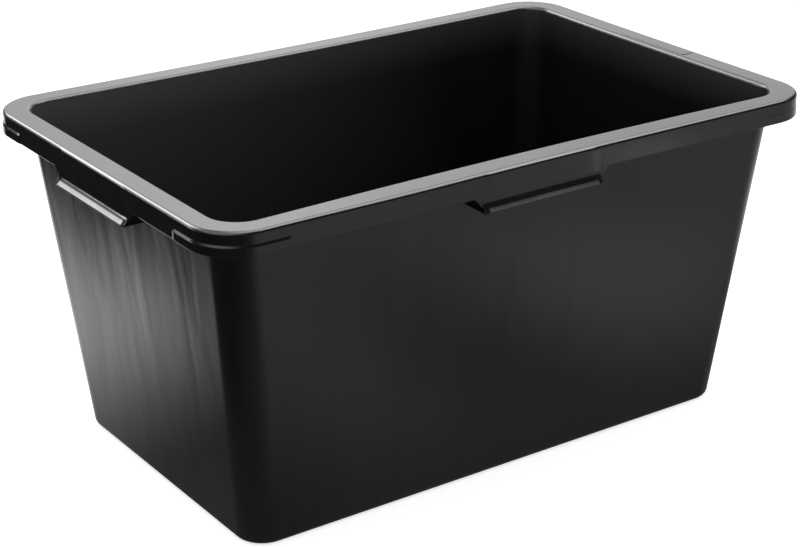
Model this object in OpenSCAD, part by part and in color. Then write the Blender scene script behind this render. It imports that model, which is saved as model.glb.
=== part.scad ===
// Mortar mixing tub: one moulding of black polyethylene, drawn as the regions that meet in it.
// +X runs along the long sides, -Y is the front, +Z is up; the origin is the middle of the base.

/* [Overall] */
// Length of the rim, from skirt face to skirt face
rim_length = 750; // [650:10:900]
// Width of the rim, from skirt face to skirt face
rim_width = 492; // [440:2:600]
// Height from the ground to the top of the rim
tub_height = 370; // [300:5:420]

/* [Walls and floor] */
// Lean of the walls from upright, in degrees
draft_angle = 5.9; // [3:0.1:7]
// Thickness of the walls
wall_thickness = 3.5; // [3:0.1:5]
// Thickness of the floor
floor_thickness = 4; // [3:0.1:6]
// Outer radius of the upright corners at the rim
corner_radius_top = 36; // [30:1:45]
// Outer radius of the upright corners at the floor
corner_radius_base = 32; // [24:1:40]
// Radius where the walls turn into the floor, outside
heel_radius = 8; // [4:0.5:10]

/* [Rim and skirt] */
// Distance from the skirt face to the outside of the wall, at the top
rim_overhang = 23.5; // [18:0.5:30]
// Thickness of the rim's flat top
rim_thickness = 4; // [3:0.1:5]
// Outer radius of the rim's corners
rim_corner_radius = 51; // [46:1:60]
// Depth of the skirt below the top of the rim
skirt_depth = 25; // [18:1:28]
// Thickness of the skirt
skirt_thickness = 3.2; // [2.5:0.1:4]
// How far the corner bands stand out from the skirt
band_step = 1.2; // [0.6:0.1:2]
// Height of the corner bands
band_height = 12; // [6:1:14]
// Distance from the rim's square corner to the end of a band
band_reach = 82; // [75:1:95]

/* [Grips] */
// Width of each grip
grip_width = 150; // [110:2:180]
// Depth of each grip below the top of the rim
grip_depth = 41; // [38:1:50]
// How far a grip's lip flares out from the skirt face
grip_flare = 6; // [4:0.5:9]
// How far a grip's face stands out from the skirt
grip_face = 0.5; // [0.3:0.1:1.2]
// Thickness of a grip's apron and end webs
grip_thickness = 3; // [2.5:0.1:4]
// Height of the flared lip
lip_height = 9; // [6:0.5:10]
// Length of the sloped gusset beside each grip
grip_shoulder = 10; // [6:1:24]

/* [Label pad] */
// Length of the blank pad on the right-hand rim
pad_length = 110; // [60:5:140]
// Height of the blank pad
pad_height = 0.6; // [0.3:0.1:1]

/* [Hidden] */

$fn = 96;
// Facets round a full turn inside a hull
hull_facets = 32;
// Arc steps down the rounded heel
heel_steps = 4;
// Overshoot that lets a cutting shape clear the surface it cuts
clearance = 1;

black_plastic = [0.07, 0.07, 0.075];

// Each side is [turn about Z, half the tub's depth across it, length of its rim]
front = [0, rim_width / 2, rim_length];
right = [90, rim_length / 2, rim_width];
rear = [180, rim_width / 2, rim_length];
left = [-90, rim_length / 2, rim_width];

rim_underside = tub_height - rim_thickness;
skirt_bottom = tub_height - skirt_depth;
grip_bottom = tub_height - grip_depth;
lip_top = grip_bottom + lip_height;
lip_middle = lip_top - 0.4 * lip_height;
grip_face_top = rim_underside - 2;
// Height at which the floor piece hands over to the walls
floor_seam = floor_thickness + heel_radius;
// Distance of the rim's inner edge from the skirt face
rim_inner_edge = wall_inside(rim_underside);
rim_inner_radius = corner_radius_top - wall_thickness;
// Distance from the skirt face to the flat part's end, where every corner piece starts
corner_start = wall_outside(0) + corner_radius_base;

// Distance of the wall's outer and inner faces from the skirt face, at height z
function wall_outside(z) = rim_overhang + (tub_height - z) * tan(draft_angle);
function wall_inside(z) = wall_outside(z) + wall_thickness;

// Extrudes a profile of [distance inward, height] along one side of the rim
module along_side(side, length) {
    rotate([0, 0, side[0]])
        translate([0, -side[1], 0])
            rotate([90, 0, 90])
                linear_extrude(length, center = true)
                    children();
}

// Puts a shape made at the rim's front left square corner on the named corner
module at_corner(mirror_x, mirror_y) {
    mirror([mirror_x, 0, 0])
        mirror([0, mirror_y, 0])
            translate([-rim_length / 2, -rim_width / 2, 0])
                children();
}

// Sweeps a profile round a corner: a leg, an arc and a leg, all at one distance from the skirt face
module round_corner(inset, radius) {
    leg = band_reach - inset - radius;
    translate([inset + radius, inset + radius, 0])
        rotate([0, 0, 180])
            rotate_extrude(angle = 90)
                translate([radius, 0])
                    mirror([1, 0])
                        children();
    translate([inset + radius, inset, 0])
        rotate([90, 0, 90])
            linear_extrude(leg)
                children();
    translate([inset, inset + radius + leg, 0])
        rotate([90, 0, 0])
            linear_extrude(leg)
                children();
}

// The part of the corner square that lies inside a rounded line
module corner_region(inset, radius) {
    side = band_reach - inset;
    translate([inset, inset])
        difference() {
            square(side);
            difference() {
                square(radius);
                translate([radius, radius]) circle(radius);
            }
        }
}

// A solid with the tub's taper, shrunk by an inset, standing on base_z with a rounded lower edge
module tapered_body(inset, base_z, edge_radius) {
    base_radius = corner_radius_base - inset;
    edge_top = base_z + edge_radius;
    base_x = rim_length / 2 - wall_outside(edge_top) - corner_radius_base;
    base_y = rim_width / 2 - wall_outside(edge_top) - corner_radius_base;
    top_x = rim_length / 2 - rim_overhang - corner_radius_top;
    top_y = rim_width / 2 - rim_overhang - corner_radius_top;
    step = 90 / heel_steps;
    hull() {
        for (sx = [-1, 1], sy = [-1, 1]) {
            for (angle = [0 : step : 90 - step]) {
                upper = edge_top - edge_radius * sin(angle);
                lower = edge_top - edge_radius * sin(angle + step);
                translate([sx * base_x, sy * base_y, lower])
                    cylinder(
                        h = upper - lower,
                        r1 = base_radius - edge_radius * (1 - cos(angle + step)),
                        r2 = base_radius - edge_radius * (1 - cos(angle)),
                        $fn = hull_facets
                    );
            }
            translate([sx * top_x, sy * top_y, tub_height])
                cylinder(h = clearance, r = corner_radius_top - inset, $fn = hull_facets);
        }
    }
}

module tub_shell() {
    difference() {
        tapered_body(0, 0, heel_radius);
        tapered_body(wall_thickness, floor_thickness, heel_radius - 2);
    }
}

module wall(side) {
    run = side[2] - 2 * corner_start;
    along_side(side, run)
        polygon([
            [wall_outside(floor_seam), floor_seam],
            [wall_inside(floor_seam), floor_seam],
            [wall_inside(rim_underside), rim_underside],
            [wall_outside(rim_underside), rim_underside],
        ]);
}

module upright_corner(mirror_x, mirror_y) {
    at_corner(mirror_x, mirror_y)
        intersection() {
            translate([rim_length / 2, rim_width / 2, 0]) tub_shell();
            translate([0, 0, floor_seam])
                cube([corner_start, corner_start, rim_underside - floor_seam]);
        }
}

// What a rounded edge takes away: the square corner outside a quarter circle, pointing to +X
module edge_cut(radius) {
    difference() {
        square(radius + clearance);
        circle(radius);
    }
}

module rim_side(side) {
    along_side(side, side[2] - 2 * band_reach)
        difference() {
            translate([0, rim_underside]) square([rim_inner_edge, rim_thickness]);
            translate([rim_thickness, rim_underside]) mirror([1, 0]) edge_cut(rim_thickness);
            translate([rim_inner_edge - rim_thickness, rim_underside]) edge_cut(rim_thickness);
        }
}

module rim_corner(mirror_x, mirror_y) {
    at_corner(mirror_x, mirror_y)
        difference() {
            translate([0, 0, rim_underside])
                linear_extrude(rim_thickness)
                    difference() {
                        corner_region(0, rim_corner_radius);
                        corner_region(rim_inner_edge, rim_inner_radius);
                    }
            round_corner(0, rim_corner_radius)
                translate([rim_thickness, rim_underside]) mirror([1, 0]) edge_cut(rim_thickness);
            round_corner(rim_inner_edge, rim_inner_radius)
                translate([-rim_thickness, rim_underside]) edge_cut(rim_thickness);
        }
}

module skirt_profile() {
    translate([0, skirt_bottom]) square([skirt_thickness, rim_underside - skirt_bottom]);
}

module skirt_side(side) {
    along_side(side, side[2] - 2 * band_reach) skirt_profile();
}

// The band's upper edge slopes, so its face is one step shorter than its back
module band_profile() {
    band_top = skirt_bottom + band_height;
    polygon([
        [0, skirt_bottom],
        [0, band_top],
        [-band_step, band_top - band_step],
        [-band_step, skirt_bottom],
    ]);
}

module skirt_corner(mirror_x, mirror_y) {
    at_corner(mirror_x, mirror_y)
        round_corner(0, rim_corner_radius) {
            union() {
                skirt_profile();
                band_profile();
            }
        }
}

// The apron hangs from the skirt, with a thin face over it, and flares out to the lip
module grip_profile() {
    polygon([
        [-grip_face, grip_face_top],
        [-grip_face, lip_top],
        [-0.6 * grip_flare, lip_middle],
        [-grip_flare, grip_bottom],
        [grip_thickness - grip_flare, grip_bottom],
        [grip_thickness - 0.6 * grip_flare, lip_middle],
        [skirt_thickness, lip_top],
        [skirt_thickness, skirt_bottom],
        [0, skirt_bottom],
        [0, grip_face_top],
    ]);
}

// The sloped gusset between the skirt's lower edge and the side of the apron
module grip_shoulders(side) {
    drop = skirt_bottom - lip_middle;
    rotate([0, 0, side[0]])
        translate([0, -side[1], 0])
            for (end = [0, 1])
                mirror([end, 0, 0])
                    translate([grip_width / 2, skirt_thickness, lip_middle])
                        rotate([90, 0, 0])
                            linear_extrude(skirt_thickness)
                                polygon([[0, 0], [grip_shoulder, drop], [0, drop]]);
}

module grip(side) {
    along_side(side, grip_width) grip_profile();
    grip_shoulders(side);
}

// A web closes each end of the hollow behind the apron, up to the underside of the rim
module grip_end_webs(side) {
    rotate([0, 0, side[0]])
        for (end = [-1, 1])
            translate([end * (grip_width - grip_thickness) / 2, -side[1], 0])
                rotate([90, 0, 90])
                    linear_extrude(grip_thickness, center = true)
                        polygon([
                            [skirt_thickness, rim_underside],
                            [skirt_thickness, lip_top],
                            [grip_thickness - 0.6 * grip_flare, lip_middle],
                            [grip_thickness - grip_flare, grip_bottom],
                            [wall_outside(grip_bottom), grip_bottom],
                            [wall_outside(rim_underside), rim_underside],
                        ]);
}

module floor_panel() {
    color(black_plastic)
        intersection() {
            tub_shell();
            translate([-rim_length / 2, -rim_width / 2, 0]) cube([rim_length, rim_width, floor_seam]);
        }
}

module front_wall() { color(black_plastic) wall(front); }
module right_wall() { color(black_plastic) wall(right); }
module rear_wall() { color(black_plastic) wall(rear); }
module left_wall() { color(black_plastic) wall(left); }

module front_left_corner() { color(black_plastic) upright_corner(0, 0); }
module front_right_corner() { color(black_plastic) upright_corner(1, 0); }
module rear_right_corner() { color(black_plastic) upright_corner(1, 1); }
module rear_left_corner() { color(black_plastic) upright_corner(0, 1); }

module front_rim() { color(black_plastic) rim_side(front); }
module right_rim() { color(black_plastic) rim_side(right); }
module rear_rim() { color(black_plastic) rim_side(rear); }
module left_rim() { color(black_plastic) rim_side(left); }

module front_left_rim_corner() { color(black_plastic) rim_corner(0, 0); }
module front_right_rim_corner() { color(black_plastic) rim_corner(1, 0); }
module rear_right_rim_corner() { color(black_plastic) rim_corner(1, 1); }
module rear_left_rim_corner() { color(black_plastic) rim_corner(0, 1); }

module front_skirt() { color(black_plastic) skirt_side(front); }
module right_skirt() { color(black_plastic) skirt_side(right); }
module rear_skirt() { color(black_plastic) skirt_side(rear); }
module left_skirt() { color(black_plastic) skirt_side(left); }

module front_left_skirt_corner() { color(black_plastic) skirt_corner(0, 0); }
module front_right_skirt_corner() { color(black_plastic) skirt_corner(1, 0); }
module rear_right_skirt_corner() { color(black_plastic) skirt_corner(1, 1); }
module rear_left_skirt_corner() { color(black_plastic) skirt_corner(0, 1); }

module front_grip() { color(black_plastic) grip(front); }
module right_grip() { color(black_plastic) grip(right); }
module rear_grip() { color(black_plastic) grip(rear); }
module left_grip() { color(black_plastic) grip(left); }

module front_grip_webs() { color(black_plastic) grip_end_webs(front); }
module right_grip_webs() { color(black_plastic) grip_end_webs(right); }
module rear_grip_webs() { color(black_plastic) grip_end_webs(rear); }
module left_grip_webs() { color(black_plastic) grip_end_webs(left); }

module label_pad() {
    pad_width = rim_inner_edge - 3 * rim_thickness;
    color(black_plastic)
        translate([
            rim_length / 2 - rim_inner_edge / 2 - pad_width / 2,
            -pad_length / 2,
            tub_height,
        ])
            cube([pad_width, pad_length, pad_height]);
}

floor_panel();
front_wall();
right_wall();
rear_wall();
left_wall();
front_left_corner();
front_right_corner();
rear_right_corner();
rear_left_corner();
front_rim();
right_rim();
rear_rim();
left_rim();
front_left_rim_corner();
front_right_rim_corner();
rear_right_rim_corner();
rear_left_rim_corner();
front_skirt();
right_skirt();
rear_skirt();
left_skirt();
front_left_skirt_corner();
front_right_skirt_corner();
rear_right_skirt_corner();
rear_left_skirt_corner();
front_grip();
right_grip();
rear_grip();
left_grip();
front_grip_webs();
right_grip_webs();
rear_grip_webs();
left_grip_webs();
label_pad();
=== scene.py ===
"""Black plastic mortar mixing tub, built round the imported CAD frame."""

import math

import bmesh
import bpy
import numpy as np
from mathutils import Matrix, Vector, noise


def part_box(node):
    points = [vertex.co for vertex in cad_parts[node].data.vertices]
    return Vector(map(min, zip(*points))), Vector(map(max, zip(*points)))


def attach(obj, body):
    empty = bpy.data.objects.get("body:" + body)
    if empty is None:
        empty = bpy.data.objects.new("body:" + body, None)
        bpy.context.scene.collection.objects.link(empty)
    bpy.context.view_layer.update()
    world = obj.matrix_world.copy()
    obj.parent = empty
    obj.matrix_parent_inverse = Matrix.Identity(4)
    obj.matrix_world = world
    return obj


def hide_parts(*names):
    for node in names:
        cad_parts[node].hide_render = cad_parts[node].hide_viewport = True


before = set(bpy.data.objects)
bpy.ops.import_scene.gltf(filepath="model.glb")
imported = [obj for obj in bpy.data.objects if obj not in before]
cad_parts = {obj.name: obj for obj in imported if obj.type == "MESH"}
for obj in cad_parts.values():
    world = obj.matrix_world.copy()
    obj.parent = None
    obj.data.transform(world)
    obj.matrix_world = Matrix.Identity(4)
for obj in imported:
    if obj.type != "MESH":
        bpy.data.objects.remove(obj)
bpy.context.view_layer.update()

MM = 0.001


# ---------------------------------------------------------------- sizes, from the CAD nodes
def low(node):
    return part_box(node)[0]


def high(node):
    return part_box(node)[1]


HALF_X = -low("left_rim").x
HALF_Y = -low("front_rim").y
TOP = high("front_rim").z
UNDERSIDE = low("front_rim").z
SEAM = low("front_wall").z
SKIRT_BOTTOM = low("front_skirt").z
SKIRT = high("front_skirt").y - low("front_skirt").y
GRIP_BOTTOM = low("front_grip").z
GRIP_FLARE = -low("front_grip").y - HALF_Y
GRIP_HALF = high("front_grip_webs").x
SHOULDER_END = high("front_grip").x
RIM_REACH = HALF_X - high("front_rim").x
WALL_REACH = HALF_X - high("front_wall").x
HEAD = HALF_Y + low("front_wall").y
FOOT = HALF_Y + low("floor_panel").y
WALL = HALF_Y + high("front_wall").y - FOOT

EDGE = 4 * MM               # rounding of the rim's two edges
RIM_RADIUS = 51 * MM        # rim corner at the skirt face
TOP_RADIUS = 36 * MM        # wall corner at the top
BASE_RADIUS = 32 * MM       # wall corner at the base
HEEL = 8 * MM               # rounding between the walls and the base
FLOOR = 4 * MM              # thickness of the base
BAND_STEP = 1.2 * MM        # the stepped band round a skirt corner
BAND_HEIGHT = 12 * MM
FAINT_BAND = 0.35           # the right-hand bands' share of that step
LIP_TOP = GRIP_BOTTOM + 9 * MM      # where a grip's face starts to flare
LIP_MIDDLE = LIP_TOP - 3.6 * MM     # the skirt's lower edge beside a grip
APRON = 0.4 * MM            # how far a grip's face stands proud of the skirt
APRON_FADE = 12 * MM        # the face dies away into the skirt over this length at each end
LIP = 3 * MM                # thickness of a grip's lip
LIP_EDGE = 1.7 * MM         # upright face along the lip's tip
LIP_END = 6.3 * MM          # length over which the lip draws back at each end
LIP_TUCK = 4 / 7            # how far it draws back, as a share of LIP_END
SKIRT_EDGE = 1.5 * MM       # rounding of the skirt's lower edge
GUSSET = 2 * MM             # length over which the skirt's edge steps down behind a grip's end
END_ROUND = 0.9 * MM        # rounding of a grip's ends
BLEND_ANGLE = math.radians(65)      # how far an apron climbs round the rim's edge


def outside(z):
    """Distance of the wall's outer face from the skirt face."""
    return HEAD + (UNDERSIDE - z) * (FOOT - HEAD) / (UNDERSIDE - SEAM)


def inside(z):
    return outside(z) + WALL


def body_radius(inset, z):
    """Corner radius of the tub's walls and heel."""
    return BASE_RADIUS + (TOP_RADIUS - BASE_RADIUS) * z / TOP - (inset - outside(z))


FLAT_END = inside(TOP) - EDGE
FLAT_RADIUS = body_radius(inside(TOP), TOP) + EDGE


def rim_radius(inset, z):
    """Corner radius of the rim and skirt: tighter inward, and less so than a plain offset."""
    eased = RIM_RADIUS + (FLAT_RADIUS - RIM_RADIUS) * inset / FLAT_END
    return np.where(inset < 0, RIM_RADIUS - inset,
                    np.where(inset > FLAT_END, FLAT_RADIUS - (inset - FLAT_END), eased))


# ---------------------------------------------------------------- sides and corners
# name, turn, half the depth across the side, half the depth along it
SIDES = [
    ("front", 0.0, HALF_Y, HALF_X),
    ("right", math.pi / 2, HALF_X, HALF_Y),
    ("rear", math.pi, HALF_Y, HALF_X),
    ("left", 3 * math.pi / 2, HALF_X, HALF_Y),
]
CORNERS = ["front_right", "rear_right", "rear_left", "front_left"]   # each follows its side
SPACING = 8 * MM
ARC_STEPS = 28
LEAD = [0, 0.02, 0.04, 0.06, 0.08, 0.11, 0.2, 0.4, 0.6, 0.8]


def place(turn, along, out, z):
    """A point along a side and outward from the centre, turned to that side."""
    c, s = math.cos(turn), math.sin(turn)
    along, out, z = np.broadcast_arrays(along, out, z)
    return np.stack([along * c + out * s, along * s - out * c, z], axis=-1)


def side_sweep(side, stations, outline):
    """Sweeps an outline of (inset, z) along a side."""
    _, turn, depth, _ = side
    rows = []
    for s in stations:
        shape = outline(s)
        rows.append(place(turn, s, depth - shape[:, 0], shape[:, 1]))
    return np.array(rows)


def corner_sweep(index, reach, outline, radius):
    """Sweeps an outline round the corner that follows a side: a straight lead, an arc, a lead."""
    _, turn, b, a = SIDES[index]
    rows = []
    arc = [(1, t) for t in np.linspace(0, 1, ARC_STEPS + 1)]
    for kind, t in [(0, t) for t in LEAD] + arc + [(2, 1 - t) for t in LEAD[::-1]]:
        shape = outline(t if kind == 0 else 1 - t if kind == 2 else 1.0)
        inset, z = shape[:, 0], shape[:, 1]
        r = radius(inset, z)
        cx, cy = a - inset - r, b - inset - r
        if kind == 0:
            along, out = (a - reach) + t * (cx - a + reach), b - inset
        elif kind == 1:
            angle = t * math.pi / 2
            along, out = cx + r * math.sin(angle), cy + r * math.cos(angle)
        else:
            along, out = a - inset, cy + t * (b - reach - cy)
        rows.append(place(turn, along, out, z))
    return np.array(rows)


def stations(half, *marks):
    """Even stations from -half to half that also hit the marks, each on both sides."""
    stops = sorted({round(m * k, 7) for m in (half,) + marks for k in (-1, 1) if m <= half})
    found = []
    for a, b in zip(stops, stops[1:]):
        n = max(1, math.ceil((b - a) / SPACING))
        found += [a + (b - a) * i / n for i in range(n)]
    return found + [stops[-1]]


def rounded(corners, steps=6):
    """A closed outline from (inset, z, radius) corners, each rounded by an arc.

    A pair in place of a radius is how far the arc reaches back and on along the two edges."""
    found = []
    for i, (x, y, r) in enumerate(corners):
        p = np.array((x, y))
        if r == 0:
            found.append(p)
            continue
        before, after = corners[i - 1], corners[(i + 1) % len(corners)]
        a, b = np.array(before[:2]) - p, np.array(after[:2]) - p
        la, lb = np.linalg.norm(a), np.linalg.norm(b)
        half = math.acos(max(-1, min(1, a @ b / la / lb))) / 2
        back, on = r if isinstance(r, tuple) else (r / math.tan(half),) * 2
        back = min(back, la * (0.49 if before[2] else 0.96))
        on = min(on, lb * (0.49 if after[2] else 0.96))
        if not isinstance(r, tuple):
            back = on = min(back, on)
        w = math.sin(half)
        for t in np.linspace(0, 1, steps + 1):
            k = np.array([(1 - t) ** 2, 2 * w * t * (1 - t), t * t])
            found.append((k[0] * (p + a / la * back) + k[1] * p + k[2] * (p + b / lb * on)) / k.sum())
    return np.array(found)


def divided(outline, longest):
    """The same outline with its long edges divided."""
    found = []
    for i, p in enumerate(outline):
        q = outline[(i + 1) % len(outline)]
        n = max(1, math.ceil(np.linalg.norm(q - p) / longest))
        found += [p + (q - p) * k / n for k in range(n)]
    return np.array(found)


def ease(t):
    t = min(1.0, max(0.0, t))
    return t * t * (3 - 2 * t)


# ---------------------------------------------------------------- pieces
class Piece:
    """The faces of one named piece. A hidden face lies against a neighbour and is never seen."""

    def __init__(self, name, slot):
        self.name, self.slot = name, slot
        self.points, self.faces, self.hidden = [], [], []

    def sheet(self, grid, wrap=False, hidden=()):
        """Quads over a grid of points; hidden names the columns whose faces are not seen."""
        start = len(self.points)
        rows, columns = grid.shape[:2]
        self.points += [tuple(p) for p in grid.reshape(-1, 3)]
        for j in range(columns if wrap else columns - 1):
            k = (j + 1) % columns
            for i in range(rows - 1):
                a, b = start + i * columns, start + (i + 1) * columns
                self.faces.append((a + j, a + k, b + k, b + j))
                self.hidden.append(j in hidden)
        return start

    def tube(self, grid, hidden=(), open_start=False, open_end=False):
        """A closed sweep with its two ends capped; an end that meets a neighbour is hidden."""
        start = self.sheet(grid, True, hidden)
        rows, columns = grid.shape[:2]
        first = tuple(range(start, start + columns))
        last = tuple(start + (rows - 1) * columns + j for j in range(columns))
        self.faces += [first, last]
        self.hidden += [not open_start, not open_end]

    def fan(self, centre, edge):
        """Fills a flat patch between a point and an edge."""
        centre = np.array(centre)
        rings = np.array([centre + (edge - centre) * t for t in (0, 0.5, 1)])
        self.sheet(rings)


pieces = []


def new_piece(name, slot):
    pieces.append(Piece(name, slot))
    return pieces[-1]


# rim: flat top, both edges rounded, the inner one broader and running on into the wall's line
RIM_OUTLINE = divided(rounded([
    (0, UNDERSIDE, 0), (0, TOP, EDGE), (inside(TOP), TOP, (1.15 * EDGE, EDGE)),
    (inside(UNDERSIDE), UNDERSIDE, 0),
], 10), 4 * MM)

WALL_ROWS = np.linspace(SEAM, UNDERSIDE, 37)
WALL_OUTLINE = np.array([(outside(z), z) for z in WALL_ROWS]
                        + [(inside(z), z) for z in WALL_ROWS[::-1]])
WALL_HIDDEN = (len(WALL_ROWS) - 1, 2 * len(WALL_ROWS) - 1)     # its top and bottom, against neighbours

HEEL_OUTLINE = rounded([(outside(SEAM), SEAM, 0), (outside(0), 0, HEEL),
                        (inside(0) + 2 * HEEL, 0, 0)], 8)[:-1]
INNER_HEEL = rounded([(inside(SEAM), SEAM, 0), (inside(FLOOR), FLOOR, HEEL - 2 * MM),
                      (inside(0) + 2 * HEEL, FLOOR, 0)], 8)[:-1]
FLOOR_OUTLINE = np.concatenate([HEEL_OUTLINE[::-1], INNER_HEEL])


def skirt_low(s):
    """The skirt's lower edge slopes down beside a grip, in a gusset."""
    s = abs(s)
    drop = SKIRT_BOTTOM - LIP_MIDDLE
    if s < GRIP_HALF:
        return SKIRT_BOTTOM - drop * ease((s - GRIP_HALF + GUSSET) / GUSSET)
    t = min(1.0, (s - GRIP_HALF) / (SHOULDER_END - GRIP_HALF))
    return SKIRT_BOTTOM - drop * (1 - t) ** 1.25


def skirt_side_outline(s):
    bottom = skirt_low(s)
    return rounded([
        (0, UNDERSIDE, 0), (0, UNDERSIDE - MM, 0), (0, bottom, SKIRT_EDGE),
        (SKIRT, bottom, SKIRT_EDGE), (SKIRT, UNDERSIDE, 0)])


def skirt_corner_outline(most):
    """A corner's outline at t, which is 0 at its ends; the band rises just inside them to most."""
    top = SKIRT_BOTTOM + BAND_HEIGHT

    def outline(t):
        step = most * ease(t / 0.2)
        return rounded([
            (0, UNDERSIDE, 0), (0, UNDERSIDE - MM, 0), (0, top, MM),
            (-step, top - 2 * BAND_STEP, 1.6 * MM), (-step, SKIRT_BOTTOM, SKIRT_EDGE),
            (SKIRT, SKIRT_BOTTOM, SKIRT_EDGE), (SKIRT, UNDERSIDE, 0)])
    return outline


def end_inset(s, half, reach=END_ROUND):
    """How far a surface has drawn back near the rounded end of a piece."""
    t = max(0.0, abs(s) - half + reach) / reach
    return reach * (1 - math.sqrt(max(0.0, 1 - t * t)))


def grip_outline(s):
    """The apron starts on the rim's rounded edge, drops past the skirt and flares into the lip."""
    back = end_inset(s, GRIP_HALF)
    face = max(0.02 * MM, APRON * ease((GRIP_HALF - abs(s)) / APRON_FADE))
    crown = []
    for angle in np.linspace(BLEND_ANGLE, 0, 8):
        r = EDGE + face * math.cos(angle / BLEND_ANGLE * math.pi / 2) ** 2 - 0.02 * MM
        crown.append((EDGE - r * math.cos(angle), UNDERSIDE + r * math.sin(angle), 0))
    bottom = GRIP_BOTTOM + back
    tip = GRIP_FLARE - LIP_TUCK * end_inset(s, GRIP_HALF, LIP_END) - back
    return rounded(crown + [
        (-face, UNDERSIDE - MM, 0),
        (-face, LIP_TOP - 0.6 * MM, (6 * MM, 5 * MM)),
        (-tip, bottom + LIP_EDGE, 0.7 * MM),
        (-tip, bottom, 0.6 * MM),
        (-GRIP_FLARE + LIP, bottom, 1.2 * MM),
        (LIP - 0.63 * GRIP_FLARE, LIP_TOP - 3.4 * MM, 1.2 * MM),
        (SKIRT, LIP_TOP + 0.6 * MM, 1.2 * MM),
        (SKIRT, SKIRT_BOTTOM + MM, 0),
        (SKIRT / 2, SKIRT_BOTTOM + 2 * MM, 0),
        (SKIRT / 2, UNDERSIDE, 0),
        (EDGE * 0.7, UNDERSIDE + EDGE * 0.5, 0),
    ])


def web_outline(s):
    """A grip's end web, from the lip to the wall and from the lip's edge to the rim."""
    back = end_inset(s, GRIP_HALF - END_ROUND / 2) * 0.4
    return rounded([
        (SKIRT * 0.5, UNDERSIDE, 0),
        (SKIRT * 0.5, LIP_TOP, 0),
        (LIP * 0.6 - 0.63 * GRIP_FLARE, LIP_TOP - 3.4 * MM, 0),
        (LIP * 0.6 - GRIP_FLARE, GRIP_BOTTOM + 0.4 * MM + back, 0.3 * MM),
        (outside(GRIP_BOTTOM) + WALL / 2, GRIP_BOTTOM + 0.4 * MM + back, 0),
        (outside(UNDERSIDE) + WALL / 2, UNDERSIDE, 0),
    ])


def constant(outline):
    return lambda station: outline


END_STATIONS = [GRIP_HALF - END_ROUND * (1 - k) for k in (0, 0.35, 0.6, 0.8, 0.93)]
FADE_STATIONS = [GRIP_HALF - APRON_FADE * k for k in (0.3, 0.5, 0.7, 0.85, 1)]
GUSSET_STATIONS = [GRIP_HALF - GUSSET * k for k in (1, 0.5, 0)]
GUSSET_STATIONS += [GRIP_HALF + k * (SHOULDER_END - GRIP_HALF) for k in (0.1, 0.2, 0.32, 0.45, 0.6, 0.8, 1)]
for side in SIDES:
    name, _, _, length = side
    rim = new_piece(name + "_rim", "rim_plastic")
    rim.tube(side_sweep(side, stations(length - RIM_REACH, GRIP_HALF), constant(RIM_OUTLINE)))
    wall = new_piece(name + "_wall", "wall_plastic")
    wall.tube(side_sweep(side, stations(length - WALL_REACH), constant(WALL_OUTLINE)), WALL_HIDDEN)
    skirt = new_piece(name + "_skirt", "skirt_plastic")
    skirt.tube(side_sweep(side, stations(length - RIM_REACH, *GUSSET_STATIONS), skirt_side_outline))
    grip = new_piece(name + "_grip", "grip_plastic")
    along = stations(GRIP_HALF, *END_STATIONS, *FADE_STATIONS)
    grip.tube(side_sweep(side, along, grip_outline), (), True, True)
    webs = new_piece(name + "_grip_webs", "grip_plastic")
    for end in (-1, 1):
        cuts = sorted(end * s for s in [GRIP_HALF - LIP, GRIP_HALF - 1.2 * MM] + END_STATIONS[::2])
        webs.tube(side_sweep(side, cuts, web_outline), (), True, True)

for index, name in enumerate(CORNERS):
    rim = new_piece(name + "_rim_corner", "rim_plastic")
    rim.tube(corner_sweep(index, RIM_REACH, constant(RIM_OUTLINE), rim_radius))
    wall = new_piece(name + "_corner", "wall_plastic")
    wall.tube(corner_sweep(index, WALL_REACH, constant(WALL_OUTLINE), body_radius), WALL_HIDDEN)
    skirt = new_piece(name + "_skirt_corner", "skirt_plastic")
    step = BAND_STEP * (FAINT_BAND if "right" in name else 1)
    skirt.tube(corner_sweep(index, RIM_REACH, skirt_corner_outline(step), rim_radius))

floor = new_piece("floor_panel", "floor_plastic")
across = {k: stations(SIDES[k][3] - WALL_REACH) for k in range(4)}
seam_column = (len(HEEL_OUTLINE) - 1,)
for index, side in enumerate(SIDES):
    _, turn, depth, length = side
    strip = side_sweep(side, across[index], constant(FLOOR_OUTLINE))
    floor.sheet(strip, False, seam_column)
    for column in (0, -1):
        edge = strip[:, column]
        inner = place(turn, np.array(across[index]), depth - WALL_REACH, edge[0, 2])
        floor.sheet(np.array([edge, (edge + inner) / 2, inner]))
    bend = corner_sweep(index, WALL_REACH, constant(FLOOR_OUTLINE), body_radius)
    floor.sheet(bend, False, seam_column)
    for column in (0, -1):
        z = bend[0, column, 2]
        floor.fan(place(turn, length - WALL_REACH, depth - WALL_REACH, z), bend[:, column])
for z in (0.0, FLOOR):
    floor.sheet(np.array([[(x, y, z) for x in across[0]] for y in across[1]]))

pad = new_piece("label_pad", "rim_plastic")
pad_low, pad_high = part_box("label_pad")
pad_size, pad_rise = (pad_high - pad_low) / 2, pad_high.z - TOP
pad_middle = (pad_high + pad_low) / 2
PAD_CORNER = 2.5 * MM


def pad_ring(shrink, z, steps=6):
    """A rounded rectangle of the pad's outline, drawn in by shrink."""
    ring = []
    for quarter in range(4):
        sx, sy = ((1, 1), (-1, 1), (-1, -1), (1, -1))[quarter]
        for t in np.linspace(0, math.pi / 2, steps + 1) + quarter * math.pi / 2:
            ring.append((
                pad_middle.x + sx * (pad_size.x - PAD_CORNER) + (PAD_CORNER - shrink) * math.cos(t),
                pad_middle.y + sy * (pad_size.y - PAD_CORNER) + (PAD_CORNER - shrink) * math.sin(t), z))
    return ring


pad.tube(np.array([pad_ring(0, TOP - MM)] + [
    pad_ring(pad_rise * (1 - math.cos(t)), TOP + pad_rise * math.sin(t))
    for t in np.linspace(0, math.pi / 2, 6)]), (), True, True)


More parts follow.
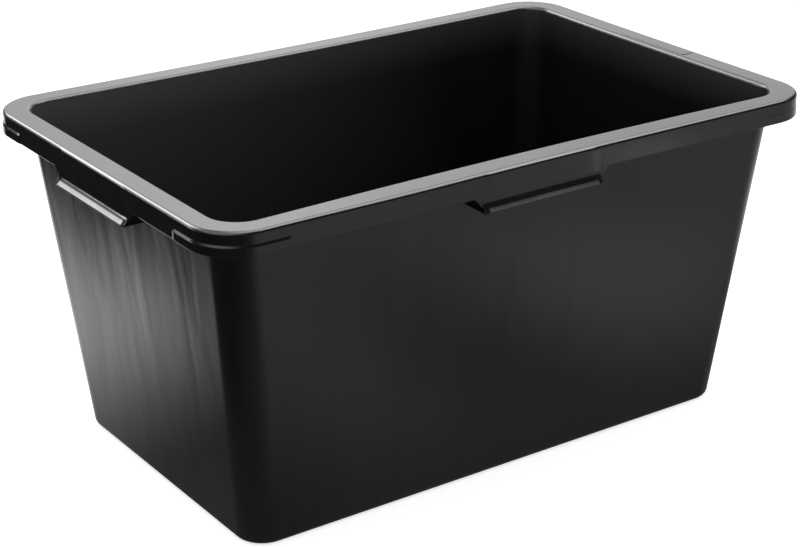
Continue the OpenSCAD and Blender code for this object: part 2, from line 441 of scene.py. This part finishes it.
# ---------------------------------------------------------------- the moulding's own warp
FRONT_BOW = 3.0 * MM, 7.2 * MM      # how far each side draws in: its skirt, and its walls
REAR_BOW = 5.0 * MM, 5.4 * MM
RIGHT_BOW = 1.4 * MM
SAG, SAG_AT, SAG_LENGTH = 1.6 * MM, -0.19, 0.12     # droop of the front skirt left of its grip
WAVE, WAVE_LENGTH = 0.35 * MM, 0.16


def settled(points):
    """The sides draw in a little at mid-length, more towards the rim, and the walls wave faintly."""
    def arch(along, half):
        """1 at mid-length, dying away at the corners."""
        return np.clip(1 - (along / (half - 0.8 * RIM_RADIUS)) ** 2, 0, 1) ** 1.3

    p = np.array(points)
    rise = np.clip(p[:, 2] / TOP, 0, 1)
    long_arch, short_arch = arch(p[:, 0], HALF_X), arch(p[:, 1], HALF_Y)
    within = np.clip((HALF_Y - np.abs(p[:, 1])) / HEAD, 0, 1)
    skirt_bow = np.where(p[:, 1] < 0, FRONT_BOW[0], REAR_BOW[0])
    wall_bow = np.where(p[:, 1] < 0, FRONT_BOW[1], REAR_BOW[1])
    moved = p.copy()
    bow = skirt_bow + (wall_bow - skirt_bow) * within
    moved[:, 1] -= p[:, 1] / HALF_Y * bow * long_arch * rise ** 1.5
    moved[:, 0] -= np.maximum(0, p[:, 0]) / HALF_X * RIGHT_BOW * short_arch * rise ** 1.5
    sag = np.exp(-((p[:, 0] - SAG_AT) / SAG_LENGTH) ** 2) * (1 - within) * long_arch
    moved[:, 2] -= SAG * np.where(p[:, 1] < 0, sag, 0)
    for i, q in enumerate(p):
        n = noise.noise_vector(Vector(q) / WAVE_LENGTH)
        k = WAVE * ease(rise[i] * 3)
        moved[i, 0] += n.x * k
        moved[i, 1] += n.y * k
    return moved


def build(piece):
    """Makes the mesh: joined vertices, faces turned outward."""
    mesh = bpy.data.meshes.new(piece.name)
    mesh.from_pydata([tuple(p) for p in settled(piece.points)], [], piece.faces)
    layer = mesh.attributes.new("unseen", "BOOLEAN", "FACE")
    layer.data.foreach_set("value", piece.hidden)
    bm = bmesh.new()
    bm.from_mesh(mesh)
    bmesh.ops.remove_doubles(bm, verts=bm.verts, dist=2e-6)
    bmesh.ops.dissolve_degenerate(bm, edges=bm.edges, dist=1e-7)
    bmesh.ops.recalc_face_normals(bm, faces=bm.faces)
    bm.to_mesh(mesh)
    bm.free()
    return mesh


CREASE = math.cos(math.radians(34))     # faces that meet more sharply than this keep their edge


def blend_normals(meshes):
    """Smooth normals shared across pieces, so that one moulding shows no seam between its regions."""
    keys, faces, weights, sizes = [], [], [], []
    for mesh in meshes:
        co = np.zeros(len(mesh.vertices) * 3)
        mesh.vertices.foreach_get("co", co)
        co = co.reshape(-1, 3)
        for polygon in mesh.polygons:
            ring = co[list(polygon.vertices)]
            before = np.roll(ring, 1, 0) - ring
            after = np.roll(ring, -1, 0) - ring
            cosine = (before * after).sum(1) / np.maximum(
                1e-18, np.linalg.norm(before, axis=1) * np.linalg.norm(after, axis=1))
            unseen = mesh.attributes["unseen"].data[polygon.index].value
            keys.append(ring)
            faces.append(np.repeat([tuple(polygon.normal)], len(ring), 0))
            weights.append(np.arccos(np.clip(cosine, -1, 1)) * (0 if unseen else polygon.area))
        sizes.append(len(mesh.loops))
    keys, faces, weights = np.concatenate(keys), np.concatenate(faces), np.concatenate(weights)
    _, ids = np.unique(np.round(keys / 1e-5).astype(np.int64), axis=0, return_inverse=True)
    ids = ids.reshape(-1)
    order = np.argsort(ids, kind="stable")
    _, start, count = np.unique(ids[order], return_index=True, return_counts=True)
    blended = faces.copy()
    for size in np.unique(count):
        rows = order[start[count == size][:, None] + np.arange(size)]
        n, w = faces[rows], weights[rows]
        near = np.einsum("aik,ajk->aij", n, n) > CREASE
        total = np.einsum("aij,ajk->aik", near * w[:, None, :], n)
        length = np.linalg.norm(total, axis=2, keepdims=True)
        blended[rows] = np.where(length > 1e-9, total / np.maximum(length, 1e-12), n)
    at = 0
    for mesh, size in zip(meshes, sizes):
        mesh.polygons.foreach_set("use_smooth", [True] * len(mesh.polygons))
        mesh.normals_split_custom_set([tuple(n) for n in blended[at:at + size]])
        at += size
        mesh.attributes.remove(mesh.attributes["unseen"])
        mesh.update()


# ---------------------------------------------------------------- materials
class Nodes:
    """A small helper for building a material's nodes."""

    def __init__(self, name):
        self.material = bpy.data.materials.new(name)
        self.material.use_nodes = True
        self.tree = self.material.node_tree
        self.shader = self.tree.nodes["Principled BSDF"]
        self.place = self.add("ShaderNodeTexCoord").outputs["Object"]

    def add(self, kind, inputs=None, **settings):
        node = self.tree.nodes.new(kind)
        for key, value in settings.items():
            setattr(node, key, value)
        for key, value in (inputs or {}).items():
            if isinstance(value, bpy.types.NodeSocket):
                self.tree.links.new(value, node.inputs[key])
            else:
                node.inputs[key].default_value = value
        return node

    def noise(self, scale, detail=3.0, roughness=0.5, stretch=(1, 1, 1), distortion=0.0, offset=(0, 0, 0)):
        at = self.add("ShaderNodeMapping", {"Vector": self.place, "Scale": stretch, "Location": offset})
        return self.add("ShaderNodeTexNoise", {
            "Vector": at.outputs[0], "Scale": scale, "Detail": detail,
            "Roughness": roughness, "Distortion": distortion}).outputs["Fac"]

    def span(self, value, a, b, c, d):
        """value from a..b to c..d, held at the ends."""
        return self.add("ShaderNodeMapRange", {
            "Value": value, "From Min": a, "From Max": b, "To Min": c, "To Max": d}).outputs[0]

    def math(self, kind, a, b=0.0):
        return self.add("ShaderNodeMath", {0: a, 1: b}, operation=kind).outputs[0]

    def mix(self, fac, a, b):
        node = self.add("ShaderNodeMix", {"Factor": fac}, data_type="RGBA")
        for socket, value in ((node.inputs[6], a), (node.inputs[7], b)):
            if isinstance(value, bpy.types.NodeSocket):
                self.tree.links.new(value, socket)
            else:
                socket.default_value = value
        return node.outputs[2]


def grey(v, tint=0.0):
    return (v, v * (1 + tint / 2), v * (1 + tint), 1)


def black_plastic(name, smooth=0.13, rough=0.2, inner=0.2, dust=0.4, grain=0.05, mottle=0.0,
                  inside_painted_light=0.0):
    """Moulded black polyethylene: soft sink marks down the outside, fine grain, scuffs, specks, dust.

    The inside is plainer, with painted light: its colour is lifted to grey towards the top of the left end
    and in a band just under the rim, where the light from the left falls."""
    n = Nodes(name)
    around = n.add("ShaderNodeNewGeometry")
    spread = n.add("ShaderNodeVectorMath", {0: around.outputs["Position"], 1: (1, 1, 0)},
                   operation="MULTIPLY")
    facing = n.add("ShaderNodeVectorMath", {0: spread.outputs[0], 1: around.outputs["Normal"]},
                   operation="DOT_PRODUCT").outputs["Value"]
    outer = n.span(facing, -0.02, 0.02, 0.0, 1.0)

    sink = n.noise(19.0, 2.0, 0.45, stretch=(1, 1, 0.24), distortion=0.3)
    flow = n.noise(9.0, 4.0, 0.55, stretch=(6, 6, 0.55), distortion=0.4)
    cloud = n.noise(7.0, 5.0, 0.6)
    fine = n.noise(420.0, 3.0, 0.6)
    peel = n.noise(55.0, 2.0, 0.5, stretch=(1, 1, 0.4))
    scuff = n.noise(26.0, 6.0, 0.7, stretch=(1, 1, 0.25), distortion=1.2, offset=(3, 1, 2))
    speck = n.add("ShaderNodeTexVoronoi", {"Vector": n.place, "Scale": 160.0}).outputs["Distance"]
    pick = n.noise(70.0, 1.0, 0.5, offset=(7, 5, 3))

    patch = n.span(cloud, 0.45, 0.75, 0.0, 1.0)
    worn = n.span(scuff, 0.58, 0.76, 0.0, 1.0)
    dot = n.math("MULTIPLY", n.span(speck, 0.04, 0.13, 1.0, 0.0), n.span(pick, 0.69, 0.74, 0.0, 1.0))

    colour = n.mix(n.span(flow, 0.35, 0.7, 0.0, 1.0), grey(0.0022, 0.03), grey(0.0036, 0.03))
    colour = n.mix(n.math("MULTIPLY", patch, dust * 0.3), colour, grey(0.012, 0.01))
    colour = n.mix(n.math("MULTIPLY", worn, dust * 0.25), colour, grey(0.02))
    # painted light: on the inside only, the colour is lifted to grey towards the top of the left end, and
    # more in a band just under the rim, where the light from the left falls
    across = n.add("ShaderNodeSeparateXYZ", {0: n.place}).outputs
    painted_light = n.math("MULTIPLY", n.span(across[0], -0.36, 0.22, 1.0, 0.06),
                  n.span(across[2], 0.0, 0.36, 0.35, 1.0))
    painted_light = n.math("ADD", painted_light, n.span(across[2], 0.32, 0.368, 0.0, 0.5))
    painted_light = n.math("MULTIPLY", n.math("MULTIPLY", painted_light, n.math("SUBTRACT", 1.0, outer)), inside_painted_light)
    colour = n.mix(painted_light, colour, grey(0.075, 0.01))
    colour = n.mix(n.math("MULTIPLY", dot, dust), colour, grey(0.11, -0.03))
    n.tree.links.new(colour, n.shader.inputs["Base Color"])

    mixed = n.math("ADD", n.math("MULTIPLY", flow, 0.5), n.math("MULTIPLY", cloud, 0.5))
    shine = n.span(mixed, 0.38, 0.62, smooth, rough)
    shine = n.math("ADD", n.math("MULTIPLY", shine, outer),
                   n.math("MULTIPLY", n.math("SUBTRACT", 1.0, outer), inner))
    shine = n.math("ADD", shine, n.math("MULTIPLY", worn, 0.06))
    shine = n.math("ADD", shine, n.math("MULTIPLY", dot, 0.25))
    n.tree.links.new(shine, n.shader.inputs["Roughness"])

    normal = n.add("ShaderNodeBump", {
        "Height": n.math("MULTIPLY", sink, outer), "Strength": mottle, "Distance": 0.004}).outputs[0]
    normal = n.add("ShaderNodeBump", {
        "Height": peel, "Strength": 0.12, "Distance": 0.0004, "Normal": normal}).outputs[0]
    normal = n.add("ShaderNodeBump", {
        "Height": fine, "Strength": grain, "Distance": 0.0003, "Normal": normal}).outputs[0]
    n.tree.links.new(normal, n.shader.inputs["Normal"])
    n.shader.inputs["IOR"].default_value = 1.5
    return n.material


# the wall and the rim carry painted light on their inside: a grey lift of the colour towards the top of the
# left end
MATERIALS = {
    "floor_plastic": black_plastic("moulded_black_floor", 0.18, 0.26, dust=0.6, mottle=0.2),
    "wall_plastic": black_plastic("moulded_black_wall", 0.15, 0.22, mottle=0.32, inside_painted_light=0.7),
    "rim_plastic": black_plastic("moulded_black_rim", 0.19, 0.25, 0.24, dust=0.3, grain=0.12,
                                 inside_painted_light=0.4),
    "skirt_plastic": black_plastic("moulded_black_skirt", 0.11, 0.16, 0.2, dust=0.25, mottle=0.1),
    "grip_plastic": black_plastic("moulded_black_grip", 0.11, 0.16, 0.2, dust=0.25, mottle=0.1),
}

built = [build(piece) for piece in pieces]
blend_normals(built)
for piece, mesh in zip(pieces, built):
    shown = bpy.data.objects.new("tub_" + piece.name, mesh)
    bpy.context.scene.collection.objects.link(shown)
    mesh.materials.append(MATERIALS[piece.slot])
    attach(shown, "root")
    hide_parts(piece.name)


# ---------------------------------------------------------------- camera
CAMERA_AT = Vector((-1.1987, -1.7369, 1.0471))
CAMERA_TURN = math.radians(-34.4757)
CAMERA_TILT = math.radians(22.7062)
CAMERA_ROLL = math.radians(-0.3343)
LENS, SENSOR = 92.0, 36.0

back = Vector((math.sin(CAMERA_TURN) * math.cos(CAMERA_TILT),
               -math.cos(CAMERA_TURN) * math.cos(CAMERA_TILT), math.sin(CAMERA_TILT)))
level = Vector((math.cos(CAMERA_TURN), math.sin(CAMERA_TURN), 0))
upright = back.cross(level).normalized()
right_way = level * math.cos(CAMERA_ROLL) + upright * math.sin(CAMERA_ROLL)
up_way = upright * math.cos(CAMERA_ROLL) - level * math.sin(CAMERA_ROLL)
camera_data = bpy.data.cameras.new("camera")
camera_data.sensor_fit, camera_data.sensor_width, camera_data.lens = "HORIZONTAL", SENSOR, LENS
camera_data.clip_start, camera_data.clip_end = 0.05, 60
camera = bpy.data.objects.new("camera", camera_data)
bpy.context.scene.collection.objects.link(camera)
aim = Matrix((right_way, up_way, back)).transposed().to_4x4()
camera.matrix_world = Matrix.Translation(CAMERA_AT) @ aim
bpy.context.scene.camera = camera
bpy.context.scene.view_settings.view_transform = "Standard"


# ---------------------------------------------------------------- stage and light
def staged(name, points, faces):
    """A stage object, which is no part of the tub."""
    mesh = bpy.data.meshes.new(name)
    mesh.from_pydata(points, [], faces)
    obj = bpy.data.objects.new(name, mesh)
    bpy.context.scene.collection.objects.link(obj)
    return obj


def circle(radius, z, sides):
    return [(radius * math.cos(2 * math.pi * i / sides), radius * math.sin(2 * math.pi * i / sides), z)
            for i in range(sides)]


def disc(name, radius, z, sides=96):
    return staged(name, circle(radius, z, sides), [tuple(range(sides))])


def dome(name, radius, rows=24, sides=48):
    """A big half sphere round the tub, seen only in its reflections."""
    points = [(0.0, 0.0, radius)]
    for i in range(1, rows + 1):
        e = math.pi / 2 * (1 - i / rows)
        points += circle(radius * math.cos(e), radius * math.sin(e), sides)
    faces = [(0, 1 + j, 1 + (j + 1) % sides) for j in range(sides)]
    for i in range(rows - 1):
        for j in range(sides):
            k = (j + 1) % sides
            above, below = 1 + i * sides, 1 + (i + 1) * sides
            faces.append((above + j, below + j, below + k, above + k))
    return staged(name, points, faces)


def only_reflected(obj):
    """The object shows in reflections and nowhere else."""
    obj.visible_camera = False
    obj.visible_diffuse = False
    obj.visible_transmission = False
    obj.visible_volume_scatter = False
    obj.visible_shadow = False


def glow(name):
    """An emission material and its helper."""
    n = Nodes(name)
    n.tree.nodes.remove(n.shader)
    lamp = n.add("ShaderNodeEmission")
    n.tree.links.new(lamp.outputs[0], n.tree.nodes["Material Output"].inputs[0])
    return n, lamp


STUDIO = 9.0                # radius of the reflected surroundings
FLOOR_REACH = 14.0          # radius of the floor that is seen
FLOOR_DROP = 0.6 * MM       # both floors lie just under the tub
BOUNCE_DROP = 0.3 * MM

studio_floor = disc("studio_floor", FLOOR_REACH, -FLOOR_DROP)
pale = bpy.data.materials.new("studio_pale")
pale.use_nodes = True
shader = pale.node_tree.nodes["Principled BSDF"]
shader.inputs["Base Color"].default_value = (0.8, 0.8, 0.8, 1)
shader.inputs["Roughness"].default_value = 0.9
shader.inputs["Emission Color"].default_value = (1, 1, 1, 1)
shader.inputs["Emission Strength"].default_value = 0.68
studio_floor.data.materials.append(pale)
studio_floor.visible_glossy = False

world = bpy.data.worlds.new("studio")
bpy.context.scene.world = world
world.use_nodes = True
world.node_tree.nodes["Background"].inputs["Color"].default_value = (1, 1, 1, 1)
world.node_tree.nodes["Background"].inputs["Strength"].default_value = 0.75
world.cycles_visibility.glossy = False

# soft lights on the reflected dome: turn from +Y towards -X, height, spread in degrees, strength
PANELS = [
    (24, 34, 14, 10.0),     # key softbox, behind on the left
    (14, 38, 18, 2.0),      # its spill on the back wall
    (46, -2, 11, 8.5),      # low strip on the left
    (36, 16, 9, 1.2),       # between the two
    (-12, 32, 21, 1.75),    # back wall
    (-46, 26, 18, 1.5),     # back wall, right end
    (-85, 66, 24, 6.0),     # overhead on the right
    (-118, 53, 12, 4.0),    # its soft end, towards the front
    (100, 60, 34, 2.5),     # overhead on the left
]
n, lamp = glow("studio_panels")
ray = n.add("ShaderNodeVectorMath", {0: n.place}, operation="NORMALIZE").outputs[0]
total = 0.10                # the dome's own faint light
for turn, height, spread, strength in PANELS:
    a, e = math.radians(turn), math.radians(height)
    axis = (-math.sin(a) * math.cos(e), math.cos(a) * math.cos(e), math.sin(e))
    facing = n.add("ShaderNodeVectorMath", {0: ray, 1: axis}, operation="DOT_PRODUCT").outputs["Value"]
    inner, outer = math.cos(math.radians(spread * 0.35)), math.cos(math.radians(spread * 1.5))
    fall = n.add("ShaderNodeMapRange", {"Value": facing, "From Min": outer, "From Max": inner,
                                        "To Min": 0.0, "To Max": strength},
                 interpolation_type="SMOOTHERSTEP").outputs[0]
    total = n.math("ADD", fall, total)
n.tree.links.new(total, lamp.inputs["Strength"])
sky = dome("studio_dome", STUDIO)
sky.data.materials.append(n.material)
only_reflected(sky)

# the reflected floor: lit in front towards the right, to the left towards the back, and beside on the right
n, lamp = glow("studio_bounce")
axes = n.add("ShaderNodeSeparateXYZ", {0: n.place}).outputs


def smooth(value, a, b, c, d):
    """value from a..b to c..d, eased at both ends."""
    return n.add("ShaderNodeMapRange", {
        "Value": value, "From Min": a, "From Max": b, "To Min": c, "To Max": d},
        interpolation_type="SMOOTHSTEP").outputs[0]


def blob(x, y, core, reach, strength):
    """A soft round patch of the floor's brightness."""
    away = n.add("ShaderNodeVectorMath", {0: n.place, 1: (x, y, 0)}, operation="DISTANCE").outputs["Value"]
    return smooth(away, core, reach, strength, 0.0)


# soft patches on that floor: x, y, core, reach, strength
PATCHES = [
    (0.36, -0.46, 0.03, 0.28, 0.22),    # in front, right of the middle
    (0.14, -0.44, 0.02, 0.24, -0.16),   # a darker one beside it
    (0.81, -1.02, 0.03, 0.13, 0.7),     # far out in front, on the right
    (-0.42, 0.42, 0.05, 0.3, 0.25),     # at the left, behind
]
POOL_BASE, POOL_LEAST = 0.025, 0.02

front_light = n.math("ADD", smooth(axes[1], -0.5, -0.15, 0.4, 0.14),
                     smooth(axes[1], -1.0, -0.6, 0.15, 0.0))
front_light = n.math("MULTIPLY", front_light, smooth(axes[0], -0.42, -0.02, 0.08, 1.0))
left_light = n.math("MULTIPLY", smooth(axes[0], -0.60, -0.43, 0.0, 1.0),
                    smooth(axes[1], 0.0, 0.44, 0.07, 1.1))
left_light = n.math("MULTIPLY", left_light, smooth(axes[0], -0.2, 0.1, 1.0, 0.3))
pool = n.math("ADD", n.math("ADD", front_light, left_light), POOL_BASE)
for patch in PATCHES:
    pool = n.math("ADD", pool, blob(*patch))
right_light = n.math("MULTIPLY", smooth(axes[0], 0.55, 0.85, 0.0, 0.55),
                     smooth(axes[1], -0.5, -0.1, 0.0, 1.0))
pool = n.math("MAXIMUM", n.math("ADD", pool, right_light), POOL_LEAST)
n.tree.links.new(pool, lamp.inputs["Strength"])
mirror_floor = disc("bounce_floor", STUDIO, -BOUNCE_DROP)
mirror_floor.data.materials.append(n.material)
only_reflected(mirror_floor)
